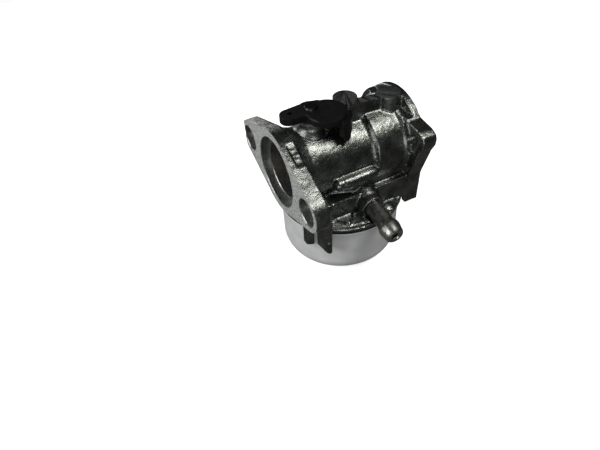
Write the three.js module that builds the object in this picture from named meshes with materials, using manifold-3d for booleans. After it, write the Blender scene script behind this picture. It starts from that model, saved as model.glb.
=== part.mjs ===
// Small-engine float-bowl carburetor: one Mesh per physical piece, millimetres, +Z up.
// Everything is drawn about the bowl's axis, with z = 0 on the seam between the body and the bowl.
// +X runs along the bore from the engine flange to the air-cleaner flange; the fuel inlet points to -Y.
// The last lines move the whole so that the frame's origin is the middle of its footprint, at the base.
import * as THREE from "three";
import { mergeVertices } from "three/addons/utils/BufferGeometryUtils.js";
import Module from "manifold-3d";

const wasm = await Module();
wasm.setup();

// ---- driving dimensions ---------------------------------------------------------------------
const gap = 0.3; // between touching pieces

const boreZ = 22; // bore axis above the seam
const boreR = 11.6;
const throatR = 8.6;
const hornR = 13;
const diffuserX = -6; // the bore narrows from here
const throatX = [0, 3.5];
const hornX = 14; // the air horn is full width from here

const engineX = [-28.8, -22.9]; // engine flange, outer face first
const airX = [21.5, 27.5]; // air-cleaner flange, inner face first
const recessR = 14.4; // seal recess in the engine face
const recessFloorX = -26;
const discR = 17.6; // middle of the engine flange
const earR = 7.9;
const boltY = 25.4; // half of the 50.8 mm bolt spacing
const boltZ = 1.25; // the bolt line is a little off level
const farEarY = 31; // the far ear is cut off here
const counterboreR = 5.4;
const boltR = 3.6;

const barrelR = 15; // throttle half
const hornBarrelR = 17; // air-horn half, from the shoulder on
const shoulderX = 8.4;
const airDiscR = 20.4;
const airEarR = 8.2;
const airStud = { y: -17.6, z: 6.9, r: 2.3 }; // near stud hole from the bore axis; the far one mirrors it

const coverR = 27; // round lid of the bowl, part of the body
const coverZ = [0.9, 2.4];
const wallY = 18.3; // side walls of the block under the barrel
const blockX = [-14.5, 21.6];
const blockTopZ = 12.2;

const bowlR = 25.6;
const bowlWall = 1.2;
const bowlRimZ = -0.9;
const bowlBaseZ = -26;
const bowlFillet = 8;
const recessCeilingZ = -19.8; // middle of the bowl's underside, above the bolt head

const shaftX = -12.4;
const shaftR = 2.5;
const bossR = 5.3;
const bossTopZ = 41;
const padTopZ = 43.5;
const padR = 4.8;
const pads = [
  { x: 4.2, y: 3.2 },
  { x: 20.2, y: -2.9 },
];

const leverZ = [42.6, 45.6];
const lobe = { x: -8.1, y: -4.2, r: 7.9, skirtR: 9.6 };
const armTip = { x: -21.2, y: 0.3, r: 3.6 };

const inlet = { x: 2.5, y: -22.4, z: 7, tilt: 6.7, yaw: 2.3 }; // degrees down, and towards the engine
const inletBossR = 4.9;
const hinge = { x: 3, y: -19.5, z: -4.5, halfWidth: 7, pinR: 0.8 };
const needle = { x: 3, y: -15, r: 1.9 };
const floatDrop = THREE.MathUtils.degToRad(8); // the float hangs this far below its shut-off level
const pedestalR = 5.8;
const nozzleTopZ = 16;
const rib = { y: -16.3, z: 19, r: 2.6, x: [-10.6, 7.4] };

// ---- materials ------------------------------------------------------------------------------
function material(color, metalness, roughness) {
  return new THREE.MeshStandardMaterial({ color, metalness, roughness });
}
const castAluminium = material(0x9a9b98, 0.9, 0.45);
const stampedSteel = material(0xb4b5b1, 0.8, 0.35);
const turnedSteel = material(0x8e8f8d, 0.9, 0.35);
const platedSteel = material(0xa9a79c, 0.9, 0.3);
const brass = material(0xb08d48, 0.9, 0.35);
const blackNylon = material(0x0d0d0e, 0, 0.45);
const blackRubber = material(0x111111, 0, 0.8);
const fibre = material(0x5a3b2a, 0, 0.9);
const floatFoam = material(0x2a2723, 0, 0.9);

// ---- solids ---------------------------------------------------------------------------------
function solid(geometry) {
  const bare = geometry.clone();
  bare.deleteAttribute("normal");
  bare.deleteAttribute("uv");
  const merged = mergeVertices(bare, 1e-4);
  return new wasm.Manifold(
    new wasm.Mesh({
      numProp: 3,
      vertProperties: new Float32Array(merged.attributes.position.array),
      triVerts: new Uint32Array(merged.index.array),
    }),
  );
}

function box([x0, x1], [y0, y1], [z0, z1]) {
  const geometry = new THREE.BoxGeometry(x1 - x0, y1 - y0, z1 - z0);
  geometry.translate((x0 + x1) / 2, (y0 + y1) / 2, (z0 + z1) / 2);
  return solid(geometry);
}

// A closed outline of [radius, height] points, turned about Z. It starts and ends on the axis, or closes.
function turned(points, segments = 32) {
  const profile = points.map(([r, z]) => new THREE.Vector2(r, z));
  if (THREE.ShapeUtils.area(profile) < 0) profile.reverse();
  const geometry = new THREE.LatheGeometry(profile, segments);
  geometry.rotateX(Math.PI / 2);
  return solid(geometry);
}

function rod(r, [z0, z1], segments = 24) {
  return turned([[0, z0], [r, z0], [r, z1], [0, z1]], segments);
}

function ring(inner, outer, [z0, z1], segments = 32) {
  return turned([[inner, z0], [outer, z0], [outer, z1], [inner, z1], [inner, z0]], segments);
}

// Turns a solid drawn about Z so that its axis points along +X, at height z.
function alongX(piece, y = 0, z = 0) {
  return piece.rotate([0, 90, 0]).translate([0, y, z]);
}

// Turns a solid drawn about Z so that its axis points along -Y.
function alongMinusY(piece, x = 0, z = 0) {
  return piece.rotate([90, 0, 0]).translate([x, 0, z]);
}

// A flat outline in X and Y, drawn up between two heights.
function plateZ(shape, [z0, z1], curveSegments = 12) {
  const options = { depth: z1 - z0, bevelEnabled: false, curveSegments };
  const geometry = new THREE.ExtrudeGeometry(shape, options);
  geometry.translate(0, 0, z0);
  return solid(geometry);
}

// A flat outline in Y and Z (its x is the frame's Y), drawn along X between two planes.
function plateX(shape, [x0, x1], curveSegments = 12) {
  return plateZ(shape, [x0, x1], curveSegments).rotate([90, 0, 90]);
}

function polygon(points) {
  return new THREE.Shape(points.map(([x, y]) => new THREE.Vector2(x, y)));
}

function disc(x, y, r) {
  return new THREE.Shape().absarc(x, y, r, 0, 2 * Math.PI, false);
}

// The straight-sided outline that wraps a big circle at the origin and a smaller one beside it.
function wrapped(bigR, small) {
  const distance = Math.hypot(small.x, small.y);
  const heading = Math.atan2(small.y, small.x);
  const spread = Math.acos((bigR - small.r) / distance);
  const shape = new THREE.Shape();
  shape.absarc(small.x, small.y, small.r, heading - spread, heading + spread, false);
  shape.absarc(0, 0, bigR, heading + spread, heading - spread + 2 * Math.PI, false);
  return shape;
}

function sector(x, y, [r0, r1], [a0, a1]) {
  const [from, to] = [a0, a1].map(THREE.MathUtils.degToRad);
  const shape = new THREE.Shape();
  shape.absarc(x, y, r1, from, to, false);
  shape.absarc(x, y, r0, to, from, true);
  return shape;
}

function joined(...pieces) {
  return pieces.reduce((whole, piece) => whole.add(piece));
}

function cut(piece, ...tools) {
  return tools.reduce((whole, tool) => whole.subtract(tool), piece);
}

const assembly = new THREE.Group();
function piece(name, shape, finish) {
  const { numProp, vertProperties, triVerts } = shape.getMesh();
  const geometry = new THREE.BufferGeometry();
  const positions = new Float32Array((vertProperties.length / numProp) * 3);
  for (let i = 0; i < positions.length; i += 1) {
    positions[i] = vertProperties[Math.floor(i / 3) * numProp + (i % 3)];
  }
  geometry.setAttribute("position", new THREE.BufferAttribute(positions, 3));
  geometry.setIndex(new THREE.BufferAttribute(new Uint32Array(triVerts), 1));
  geometry.computeVertexNormals();
  const mesh = new THREE.Mesh(geometry, finish);
  mesh.name = name;
  assembly.add(mesh);
}

// ---- body -----------------------------------------------------------------------------------
function engineFlange() {
  const near = { x: -boltY, y: -boltZ, r: earR };
  const far = { x: boltY, y: boltZ, r: earR };
  const plates = joined(
    plateX(wrapped(discR, near), engineX, 20),
    plateX(wrapped(discR, far), engineX, 20),
  );
  const beyondFarEar = box([engineX[0] - 1, engineX[1] + 1], [farEarY, farEarY + 9], [-20, 20]);
  return cut(plates, beyondFarEar).translate([0, 0, boreZ]);
}

// A thin round rim on the outside, and behind it the thick part, whose near lug has a flat top.
function airFlange() {
  const rimX = [airX[1] - 2.7, airX[1]];
  const nearLug = polygon([[-8, 14.8], [-22.2, 13.1], [-24.6, 12], [-25.5, 10], [-25.2, 7.2], [-23.4, 3.9],
    [-22.8, 1.8], [-21.2, -3.2], [-19.4, -9], [-8, -12]]);
  const farLug = wrapped(airDiscR, { x: -airStud.y, y: -airStud.z, r: airEarR });
  const leg = polygon([[-21.4, 2], [-19.3, -8], [-18.9, -24.5], [-16, -24.5], [-16, -20.2], [-12, -18],
    [-10, 0]]);
  const foot = polygon([[-12, -12], [-12, -19.4], [12, -19.4], [12, -12]]);
  const thick = joined(
    plateX(disc(0, 0, airDiscR), airX, 40),
    plateX(farLug, airX, 20),
    plateX(leg, airX),
    plateX(foot, airX),
  );
  const aboveLug = box([airX[0] - 1, rimX[0]], [-30, 30], [14.7, 30]);
  const plates = joined(cut(thick, aboveLug), plateX(nearLug, airX));
  const earPocket = polygon([[-9.6, 13.4], [-21, 12], [-22.3, 9], [-20.6, 3.4], [-15.6, -1], [-15.6, 5]]);
  return cut(plates, plateX(earPocket, [airX[0] - 1, airX[0] + 1.3])).translate([0, 0, boreZ]);
}

function barrels() {
  const profile = [
    [0, engineX[1] - 1],
    [discR - 0.6, engineX[1] - 1],
    [barrelR + 0.8, engineX[1] + 2],
    [barrelR, engineX[1] + 4.5],
    [barrelR, shoulderX - 2],
    [barrelR + 0.6, shoulderX - 0.8],
    [hornBarrelR, shoulderX],
    [hornBarrelR, airX[0] + 1],
    [0, airX[0] + 1],
  ];
  return alongX(turned(profile, 56), 0, boreZ);
}

function lowerBlock() {
  const walls = box(blockX, [-wallY, wallY], [coverZ[0] + 0.5, blockTopZ]);
  const shoulderY = wallY - 2.6;
  const shoulderX0 = blockX[0] + 1.2;
  const shoulder = box([shoulderX0, blockX[1]], [-shoulderY, shoulderY], [blockTopZ - 1, blockTopZ + 3.4]);
  const cover = rod(coverR, coverZ, 72);
  const gusset = polygon([[-13.6, -17.5], [-8.8, -23.4], [-3.8, -17.5]]);
  return joined(walls, shoulder, cover, plateZ(gusset, [coverZ[0] + 0.2, coverZ[1] + 1.4]));
}

// Legs cast under the two flanges, clear of the bowl's side.
function engineLeg() {
  const foot = polygon([[-24.6, -12], [-24.3, -15], [-22.9, -15.9], [-21, -16.4], [-20.4, -17.6],
    [-19.6, -23.6], [-18.5, -24.8], [-17.2, -24.2], [-17.6, -20.5], [-21.2, -16], [-23.6, -12]]);
  return plateZ(foot, [-8, boreZ - 8]).add(box([-24.6, -17.4], [-24, -10], [8, boreZ - 4]));
}

// Flat-topped pads and the bar between them, on top of the air horn.
function topPads() {
  const low = boreZ + 8;
  const [first, second] = pads;
  const bar = polygon([[first.x - 3, -4.2], [second.x, -4.8], [second.x, 0.6], [15, -1.3], [8, -0.3],
    [first.x, first.y + 1]]);
  const posts = pads.map(({ x, y }) => rod(padR, [low, padTopZ], 36).translate([x, y, 0]));
  return joined(plateZ(bar, [low, padTopZ - 0.25]), ...posts);
}

function inletAxisSolid(shape) {
  return shape
    .rotate([90 + inlet.tilt, 0, -inlet.yaw])
    .translate([inlet.x, inlet.y, inlet.z]);
}

function bodyBosses() {
  const rootZ = boreZ + 8;
  const flareTopZ = boreZ + 17;
  const flare = [
    [0, rootZ],
    [bossR + 3, rootZ],
    [bossR + 1.4, boreZ + 14.6],
    [bossR, flareTopZ],
    [0, flareTopZ],
  ];
  const throttleBoss = joined(
    rod(bossR, [rootZ, bossTopZ], 36),
    turned(flare, 36),
    rod(bossR - 0.6, [blockTopZ - 6, blockTopZ], 24),
  ).translate([shaftX, 0, 0]);
  const inletBoss = inletAxisSolid(rod(inletBossR, [-7, 0], 32));
  const passageRib = alongX(rod(rib.r, rib.x, 24), rib.y, rib.z);
  const idleBoss = alongMinusY(rod(5.4, [-17.6, -10], 32), shaftX, boreZ);
  return joined(throttleBoss, inletBoss, passageRib, idleBoss);
}

// What hangs under the lid, inside the bowl: bolt pedestal, needle housing, hinge lugs, idle-jet boss.
function underside() {
  const lug = box([-1, 1], [-2.1, 2.1], [-2.1, 6.4]);
  const lugs = [-1, 1].map((side) => lug.translate([hinge.x + side * hinge.halfWidth, hinge.y, hinge.z]));
  return joined(
    rod(pedestalR, [recessCeilingZ + bowlWall + gap, coverZ[0] + 1], 36),
    rod(4.1, [-1.4, coverZ[0] + 1], 28).translate([needle.x, needle.y, 0]),
    rod(3.2, [-4, coverZ[0] + 1], 20).translate([-9.5, 5, 0]),
    ...lugs,
  );
}

function borePassage() {
  const profile = [
    [0, engineX[0] - 1],
    [recessR, engineX[0] - 1],
    [recessR, recessFloorX],
    [boreR, recessFloorX],
    [boreR, diffuserX],
    [throatR, throatX[0]],
    [throatR, throatX[1]],
    [hornR, hornX],
    [hornR, airX[1] + 1],
    [0, airX[1] + 1],
  ];
  return alongX(turned(profile, 56), 0, boreZ);
}

function flangeHoles() {
  const through = rod(boltR, [engineX[0] - 1, engineX[1] + 3], 28);
  const counterbore = rod(counterboreR, [engineX[0] - 1, engineX[0] + 2.6], 32);
  const bolts = [-1, 1].map((side) => alongX(through.add(counterbore), side * boltY, boreZ + side * boltZ));
  const stud = rod(airStud.r, [airX[0] - 0.5, airX[1] + 1], 20);
  const studs = [-1, 1].map((side) => alongX(stud, -side * airStud.y, boreZ - side * airStud.z));
  const bleed = joined(rod(1.1, [airX[0] + 1, airX[1] + 1], 16), rod(1.9, [airX[1] - 3, airX[1] + 1], 16));
  return joined(...bolts, ...studs, alongX(bleed, -17, boreZ - 4));
}

function smallBores() {
  const shaftHole = rod(shaftR + gap, [8, bossTopZ + 1], 28).translate([shaftX, 0, 0]);
  const pedestalBore = joined(
    rod(3.3, [-20, -8], 24),
    rod(3, [-8.1, 9], 24),
    rod(1.9, [8.9, boreZ], 20),
    alongX(rod(1.2, [-8, 8], 16), 0, -9.8),
  );
  const needleChamber = joined(rod(2.6, [-4, 6.3], 20), rod(1, [6.2, 8.2], 12))
    .translate([needle.x, needle.y, 0]);
  const inletBore = inletAxisSolid(joined(rod(3.3, [-5, 1], 24), rod(1.1, [-8, -4.9], 12)));
  const idleJetHole = rod(2.1, [-5, 2.2], 16).translate([-9.5, 5, 0]);
  const pinHole = alongX(rod(hinge.pinR + gap, [hinge.x - 12, hinge.x + 12], 16), hinge.y, hinge.z);
  const ribPassage = alongX(rod(2, [rib.x[0] - 1, rib.x[0] + 1.6], 16), rib.y, rib.z);
  const idlePocket = alongMinusY(rod(4.1, [-18, -15.8], 28), shaftX, boreZ);
  const farPlugHole = alongMinusY(rod(2, [-wallY - 1, -wallY + 2], 16), -6, 7.5);
  return [shaftHole, pedestalBore, needleChamber, inletBore, idleJetHole, pinHole, ribPassage, idlePocket,
    farPlugHole];
}

function body() {
  const casting = joined(engineFlange(), airFlange(), barrels(), lowerBlock(), engineLeg(), topPads(),
    bodyBosses(), underside());
  return cut(casting, borePassage(), flangeHoles(), ...smallBores());
}

// ---- bowl and its fixings -------------------------------------------------------------------
function arcPoints(r, z, radius, [a0, a1], steps) {
  return Array.from({ length: steps + 1 }, (_, i) => {
    const angle = THREE.MathUtils.degToRad(a0 + ((a1 - a0) * i) / steps);
    return [r + radius * Math.cos(angle), z + radius * Math.sin(angle)];
  });
}

function floatBowl() {
  const lip = 0.5;
  const cornerR = bowlR - bowlFillet;
  const cornerZ = bowlBaseZ + bowlFillet;
  const outside = [
    [bowlR + lip, bowlRimZ],
    [bowlR + lip, bowlRimZ - 1.6],
    [bowlR, bowlRimZ - 2.2],
    ...arcPoints(cornerR, cornerZ, bowlFillet, [0, -90], 8),
    [13, bowlBaseZ],
    [11.4, recessCeilingZ],
    [3.4, recessCeilingZ],
  ];
  const inside = [
    [3.4, recessCeilingZ + bowlWall],
    [12.3, recessCeilingZ + bowlWall],
    [13.9, bowlBaseZ + bowlWall],
    ...arcPoints(cornerR, cornerZ, bowlFillet - bowlWall, [-90, 0], 8),
    [bowlR - bowlWall, bowlRimZ],
  ];
  return turned([...outside, ...inside, outside[0]], 60);
}

function bowlBolt() {
  const headZ = [recessCeilingZ - 5.6, recessCeilingZ - 1.6];
  const headR = 12.7 / Math.sqrt(3);
  const hexagon = polygon(Array.from({ length: 6 }, (_, i) => [
    headR * Math.cos((i * Math.PI) / 3),
    headR * Math.sin((i * Math.PI) / 3),
  ]));
  return joined(plateZ(hexagon, headZ), rod(3, [headZ[1] - 0.5, -11.4], 24));
}

// ---- throttle -------------------------------------------------------------------------------
const plateSize = { x: 11.85, z: 11.3, thickness: 0.8 };

function throttleShaft() {
  const bar = rod(shaftR, [8.3, leverZ[1] + 0.7], 28);
  const slotHalf = plateSize.thickness / 2 + gap;
  const slot = box([-4, 4], [-slotHalf, slotHalf], [boreZ - plateSize.z - gap, boreZ + plateSize.z + gap]);
  const screwHole = alongMinusY(rod(1.3, [-4, 4], 12), 0, boreZ);
  return cut(bar, slot, screwHole).translate([shaftX, 0, 0]);
}

function throttlePlate() {
  const outline = new THREE.Shape().absellipse(0, 0, plateSize.x, plateSize.z, 0, 2 * Math.PI);
  const half = plateSize.thickness / 2;
  const hole = rod(1.3, [-2, 2], 12);
  return cut(plateZ(outline, [-half, half], 24), hole).rotate([90, 0, 0]).translate([shaftX, 0, boreZ]);
}

function plateScrew() {
  const profile = [[0, -2.4], [0.95, -2.4], [0.95, 2.8], [1.9, 2.8], [1.6, 3.7], [0, 3.9]];
  return alongMinusY(turned(profile, 20), shaftX, boreZ);
}

function throttleLever() {
  const arm = polygon([
    [armTip.x, armTip.y - armTip.r],
    [shaftX, -3.6],
    [lobe.x - 1, lobe.y - lobe.r],
    [lobe.x + 1, lobe.y + lobe.r],
    [shaftX, 4.7],
    [armTip.x, armTip.y + armTip.r],
  ]);
  const skirtZ = [37.2, leverZ[0] + 1];
  const fingerZ = [35.1, skirtZ[0] + 1];
  const whole = joined(
    plateZ(arm, leverZ),
    plateZ(disc(armTip.x, armTip.y, armTip.r), leverZ, 20),
    plateZ(disc(lobe.x, lobe.y, lobe.r), leverZ, 28),
    plateZ(disc(shaftX, 0, 5), leverZ, 20),
    plateZ(sector(lobe.x, lobe.y, [6.8, lobe.skirtR], [-76, -12]), skirtZ, 16),
    plateZ(sector(lobe.x, lobe.y, [8, lobe.skirtR], [-66, -47]), fingerZ, 10),
  );
  const linkHole = rod(0.95, [30, 50], 16).translate([armTip.x + 0.5, armTip.y + 0.3, 0]);
  return cut(whole, linkHole, rod(shaftR + gap, [30, 50], 28).translate([shaftX, 0, 0]));
}

// ---- fuel inlet, needle and float -----------------------------------------------------------
function inletNipple() {
  const tube = turned([[1.5, -4.4], [3, -4.4], [3, 0.3], [3.6, 0.5], [3.6, 9.8], [4.3, 11.8], [4.3, 13.6],
    [3.4, 17], [2.2, 17.2], [1.5, 16.8], [1.5, -4.4]], 32);
  return inletAxisSolid(tube);
}

function inletNeedle() {
  const profile = [[0, -3.6], [needle.r, -3.6], [needle.r, 1.6], [0.5, 3.4], [0, 3.4]];
  const lift = (needle.y - hinge.y) * floatDrop;
  return turned(profile, 20).translate([needle.x, needle.y, -lift]);
}

function floatPiece() {
  const ringZ = [-13, -6.2];
  const ringShape = turned([[8.6, ringZ[0] + 1], [9.6, ringZ[0]], [20, ringZ[0]], [21, ringZ[0] + 1],
    [21, ringZ[1] - 1], [20, ringZ[1]], [9.6, ringZ[1]], [8.6, ringZ[1] - 1], [8.6, ringZ[0] + 1]], 48);
  const barrel = alongX(rod(1.9, [hinge.x - 5.6, hinge.x + 5.6], 20), hinge.y, hinge.z);
  const neck = box([hinge.x - 4.5, hinge.x + 4.5], [hinge.y - 1.2, hinge.y + 1.8], [ringZ[1] - 1, hinge.z]);
  const tab = box([hinge.x - 2.4, hinge.x + 2.4], [hinge.y, hinge.y + 7.4], [hinge.z - 1, hinge.z + 0.5]);
  const pinHole = alongX(rod(hinge.pinR + gap, [hinge.x - 8, hinge.x + 8], 16), hinge.y, hinge.z);
  const lugSides = [[-9, hinge.x - 5.9], [hinge.x + 5.9, 13]];
  const clearance = joined(...lugSides.map((x) => box(x, [-24, -16], [ringZ[1] - 1.2, 0])));
  const level = cut(joined(ringShape, barrel, neck, tab), pinHole, clearance);
  return level
    .translate([0, -hinge.y, -hinge.z])
    .rotate([-THREE.MathUtils.radToDeg(floatDrop), 0, 0])
    .translate([0, hinge.y, hinge.z]);
}

// ---- small internals ------------------------------------------------------------------------
function mainNozzle() {
  return turned([[0.8, -4.3], [2.7, -4.3], [2.7, 3], [1.9, 3], [1.9, 4.8], [2.7, 4.8], [2.7, 8.4],
    [1.6, 8.4], [1.6, nozzleTopZ], [0.8, nozzleTopZ], [0.8, -4.3]], 24);
}

function mainJet() {
  return turned([[0.45, -7.4], [2.7, -7.4], [2.7, -4.6], [0.45, -4.6], [0.45, -7.4]], 24);
}

function idleJet() {
  return turned([[0.3, -4.9], [1.8, -4.9], [1.8, 1.9], [0.3, 1.9], [0.3, -4.9]], 16).translate([-9.5, 5, 0]);
}

function ballPlug(r) {
  return turned([[0, -1.2], [r, -1.2], [r, 0.2], [r * 0.7, 0.8], [0, 1]], 16);
}

// ---- assembly -------------------------------------------------------------------------------
piece("carburetor_body", body(), castAluminium);
piece("float_bowl", floatBowl(), stampedSteel);
piece("bowl_gasket", ring(bowlR - 1.3, bowlR + 0.7, [bowlRimZ + gap, coverZ[0] - gap], 72), blackRubber);
piece("bowl_bolt", bowlBolt(), platedSteel);
piece("bowl_bolt_washer", ring(3.4, 6.6, [recessCeilingZ - 1.3, recessCeilingZ - gap]), fibre);
piece("throttle_shaft", throttleShaft(), turnedSteel);
const shaftSeal = ring(2.8, 4.4, [bossTopZ + gap, leverZ[0] - gap]);
piece("throttle_shaft_seal", shaftSeal.translate([shaftX, 0, 0]), blackRubber);
piece("throttle_lever", throttleLever(), blackNylon);
piece("throttle_plate", throttlePlate(), brass);
piece("throttle_plate_screw", plateScrew(), platedSteel);
piece("fuel_inlet_nipple", inletNipple(), turnedSteel);
piece("inlet_seat", ring(0.9, 2.3, [4.3, 6]).translate([needle.x, needle.y, 0]), blackRubber);
piece("inlet_needle", inletNeedle(), platedSteel);
piece("float", floatPiece(), floatFoam);
const hingePin = rod(hinge.pinR, [hinge.x - 8.6, hinge.x + 8.6], 16);
piece("float_hinge_pin", alongX(hingePin, hinge.y, hinge.z), turnedSteel);
piece("main_nozzle", mainNozzle(), brass);
piece("nozzle_o_ring", ring(2.2, 2.7, [3.3, 4.5], 24), blackRubber);
piece("main_jet", mainJet(), brass);
piece("idle_jet", idleJet(), brass);
const bleedJet = ring(0.5, 1.6, [airX[1] - 2.7, airX[1] - 0.2], 16);
piece("air_bleed_jet", alongX(bleedJet, -17, boreZ - 4), brass);
const idleCup = turned([[0, -0.5], [3.8, -0.5], [3.8, 0.9], [3, 0.9], [2.4, 0.4], [0, 0.4]], 28);
const placedCup = alongMinusY(idleCup.rotate([180, 0, 0])).translate([shaftX, 16.6, boreZ]);
piece("idle_port_plug", placedCup, stampedSteel);
const ribPlug = alongX(ballPlug(1.7).rotate([180, 0, 0])).translate([rib.x[0] + 0.1, rib.y, rib.z]);
piece("passage_plug_front", ribPlug, stampedSteel);
const farPlug = alongMinusY(ballPlug(1.7).rotate([180, 0, 0])).translate([-6, wallY - 0.4, 7.5]);
piece("passage_plug_far", farPlug, stampedSteel);

const carburetor = new THREE.Group();
carburetor.add(assembly);
const span = new THREE.Box3().setFromObject(assembly);
const middle = span.getCenter(new THREE.Vector3());
assembly.position.set(-middle.x, -middle.y, -span.min.z);

export default carburetor;
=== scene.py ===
import math

import bmesh
import bpy
from mathutils import Matrix, Vector


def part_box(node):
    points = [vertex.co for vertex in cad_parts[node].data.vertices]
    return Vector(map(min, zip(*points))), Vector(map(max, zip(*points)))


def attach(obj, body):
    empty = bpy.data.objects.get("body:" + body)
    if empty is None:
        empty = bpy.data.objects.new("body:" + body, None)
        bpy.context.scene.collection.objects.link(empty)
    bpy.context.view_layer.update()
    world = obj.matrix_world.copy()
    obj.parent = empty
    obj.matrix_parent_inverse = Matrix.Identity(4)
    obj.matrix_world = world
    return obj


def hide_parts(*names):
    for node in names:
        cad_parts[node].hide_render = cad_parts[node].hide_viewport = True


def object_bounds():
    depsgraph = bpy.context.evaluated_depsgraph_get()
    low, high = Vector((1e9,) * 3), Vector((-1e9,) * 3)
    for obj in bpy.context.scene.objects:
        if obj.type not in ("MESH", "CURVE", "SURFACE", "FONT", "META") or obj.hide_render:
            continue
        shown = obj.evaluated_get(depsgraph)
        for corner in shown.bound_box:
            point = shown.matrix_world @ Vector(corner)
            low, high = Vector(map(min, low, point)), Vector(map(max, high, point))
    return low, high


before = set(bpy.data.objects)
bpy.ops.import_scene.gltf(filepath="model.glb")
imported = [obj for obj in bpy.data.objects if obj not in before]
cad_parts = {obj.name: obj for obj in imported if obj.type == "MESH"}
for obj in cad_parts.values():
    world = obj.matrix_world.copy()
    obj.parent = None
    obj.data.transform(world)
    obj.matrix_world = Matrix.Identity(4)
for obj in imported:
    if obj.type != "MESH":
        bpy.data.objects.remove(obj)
cad_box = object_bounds()

MM = 0.001
BOWL_DEPTH = 26.0
bowl_low, bowl_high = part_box("float_bowl")
ORIGIN = Vector(((bowl_low.x + bowl_high.x) / 2, (bowl_low.y + bowl_high.y) / 2, bowl_low.z + BOWL_DEPTH * MM))
TO_FRAME = Matrix.Translation(ORIGIN) @ Matrix.Scale(MM, 4)

# ---- driving dimensions, as in the CAD (mm) -----------------------------------------------------
GAP = 0.3
BORE_Z = 22.0
BORE_R = 11.6
THROAT_R = 8.6
HORN_R = 13.0
ENGINE_X = (-28.8, -22.9)
AIR_X = (21.5, 27.5)
RECESS_R = 14.4
RECESS_FLOOR_X = -26.0
DISC_R = 17.6
EAR_R = 7.9
BOLT_Y = 25.4
BOLT_Z = 1.25
FAR_EAR_Y = 31.0
COUNTERBORE_R = 5.4
BOLT_R = 3.6
BARREL_R = 15.0
HORN_BARREL_R = 17.0
SHOULDER_X = 8.4
AIR_DISC_R = 20.4
AIR_EAR_R = 8.2
STUD_Y, STUD_Z, STUD_R = -17.6, 6.9, 2.3
COVER_R = 27.0
COVER_Z = (0.9, 2.4)
WALL_Y = 18.3
BLOCK_X = (-14.5, 21.6)
BLOCK_TOP_Z = 12.2
BOWL_R = 25.6
BOWL_WALL = 1.2
BOWL_RIM_Z = -0.9
RECESS_CEILING_Z = -19.8
SHAFT_X = -12.4
SHAFT_R = 2.5
BOSS_R = 5.3
BOSS_TOP_Z = 41.0
PAD_TOP_Z = 43.5
PAD_R = 4.8
PADS = ((4.2, 3.2), (20.2, -2.9))
LEVER_Z = (42.6, 45.6)
LOBE_X, LOBE_Y, LOBE_R, SKIRT_R = -8.1, -4.2, 7.9, 9.6
TIP_X, TIP_Y, TIP_R = -21.2, 0.3, 3.6
INLET = Vector((2.5, -22.4, 7.0))
INLET_TILT, INLET_YAW = 6.7, 2.3
HINGE_X, HINGE_Y, HINGE_Z = 3.0, -19.5, -4.5
RIB_Y, RIB_Z = -16.3, 19.0
ALLOWANCE = 0.8  # extra metal on the casting where a face is machined later


# ---- outlines -----------------------------------------------------------------------------------
def arc(cx, cy, r, start, stop, steps):
    angles = [math.radians(start + (stop - start) * i / steps) for i in range(steps + 1)]
    return [(cx + r * math.cos(a), cy + r * math.sin(a)) for a in angles]


def wrapped(big_r, x, y, r, steps=28):
    """The straight-sided outline round a big circle at the origin and a smaller one at x, y."""
    heading = math.degrees(math.atan2(y, x))
    spread = math.degrees(math.acos((big_r - r) / math.hypot(x, y)))
    small = arc(x, y, r, heading - spread, heading + spread, steps)
    return small + arc(0, 0, big_r, heading + spread, heading - spread + 360, 2 * steps)


def clipped(outline, limit):
    """What of a convex outline has its first coordinate below the limit."""
    kept = []
    for (x0, y0), (x1, y1) in zip(outline, outline[1:] + outline[:1]):
        if x0 <= limit:
            kept.append((x0, y0))
        if (x0 - limit) * (x1 - limit) < 0:
            share = (limit - x0) / (x1 - x0)
            kept.append((limit, y0 + share * (y1 - y0)))
    return kept


def rounded(corners, radius, closed=True, steps=5):
    """The outline with its corners turned into arcs. A corner's own third number overrides the radius."""
    result = []
    for i, corner in enumerate(corners):
        point = Vector(corner[:2])
        r = corner[2] if len(corner) > 2 else radius
        if r <= 0 or (not closed and i in (0, len(corners) - 1)):
            result.append(tuple(point))
            continue
        before = Vector(corners[i - 1][:2]) - point
        after = Vector(corners[(i + 1) % len(corners)][:2]) - point
        half = before.angle(after) / 2
        if half > 1.5:
            result.append(tuple(point))
            continue
        reach = min(r / math.tan(half), 0.48 * before.length, 0.48 * after.length)
        r = reach * math.tan(half)
        middle = (before.normalized() + after.normalized()).normalized()
        centre = point + middle * (r / math.sin(half))
        start = point + before.normalized() * reach - centre
        sweep = start.angle_signed(point + after.normalized() * reach - centre)
        for k in range(steps + 1):
            turn = -sweep * k / steps
            turned = Matrix.Rotation(turn, 2) @ start
            result.append(tuple(centre + turned))
    return result


# ---- closed shells: (points, faces) ---------------------------------------------------------------
def oriented(axis, u, v, h):
    """A point whose height h is along the axis: z (plan view), x (outline in Y, Z) or -y (outline in X, Z)."""
    return {"z": Vector((u, v, h)), "x": Vector((h, u, v)), "-y": Vector((u, -h, v))}[axis]


def moved(shell, *offset):
    points, faces = shell
    return [p + Vector(offset) for p in points], faces


def transformed(shell, matrix):
    points, faces = shell
    return [matrix @ p for p in points], faces


def prism(outline, low, high, axis="z"):
    count = len(outline)
    points = [oriented(axis, u, v, h) for h in (low, high) for u, v in outline]
    sides = [(i, (i + 1) % count, count + (i + 1) % count, count + i) for i in range(count)]
    return points, [tuple(range(count))[::-1], tuple(range(count, 2 * count))] + sides


def tapered(outline, low, high, top_outline, axis="z"):
    points, faces = prism(outline, low, high, axis)
    top = [oriented(axis, u, v, high) for u, v in top_outline]
    return points[: len(outline)] + top, faces


def box(xs, ys, zs):
    return prism([(xs[0], ys[0]), (xs[1], ys[0]), (xs[1], ys[1]), (xs[0], ys[1])], *zs)


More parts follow.
